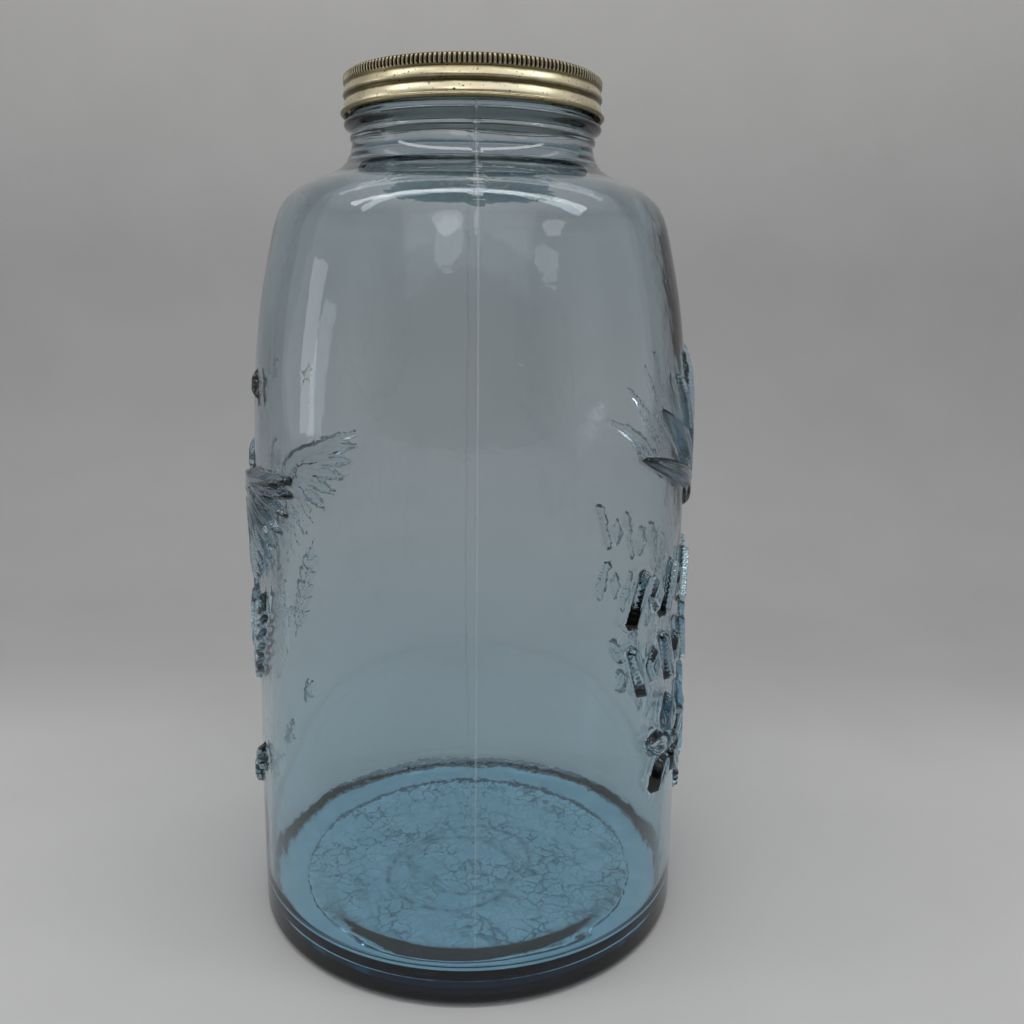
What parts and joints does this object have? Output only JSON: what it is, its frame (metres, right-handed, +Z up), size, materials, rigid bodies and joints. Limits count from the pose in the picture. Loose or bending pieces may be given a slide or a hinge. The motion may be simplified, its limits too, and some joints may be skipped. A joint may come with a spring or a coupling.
{
  "type": "glass storage jar with screw cap",
  "caption": "Giant moulded glass storage jar with embossed side panels, a threaded neck and a one-piece metal screw cap with a board liner.",
  "frame": {"origin": "on the jar's axis, at the plane that it rests on", "axes": "+Z up the jar's axis to the cap; -Y the side the mould seam faces; -X the bird panel; +X the ornament panel"},
  "size_m": [0.23, 0.2214, 0.4168],
  "materials": {
    "tinted_glass": "polished pale blue moulded glass",
    "lacquered_metal": "gold-lacquered metal, slightly tarnished, knurled rim",
    "pulpboard": "matte grey-brown pulpboard",
    "facing_film": "smooth off-white coated facing"
  },
  "bodies": {
    "jar": {"jar": "tinted_glass"},
    "liner": {"liner_facing": "facing_film", "liner_board": "pulpboard"},
    "cap": {"cap_shell": "lacquered_metal"}
  },
  "joints": [
    {"name": "lid_lift", "type": "slide", "parent": "jar", "child": "liner", "axis": [0, 0, 1], "range_m": [0, 0.03048]},
    {"name": "cap_turn", "type": "hinge", "parent": "liner", "child": "cap", "pos_m": [0, 0, 0.408], "axis": [0, 0, 1], "range_deg": [0, 2160]}
  ],
  "couplings": [
    {"joint": "lid_lift", "follows": "cap_turn", "m_per_rad": 0.00080851}
  ]
}
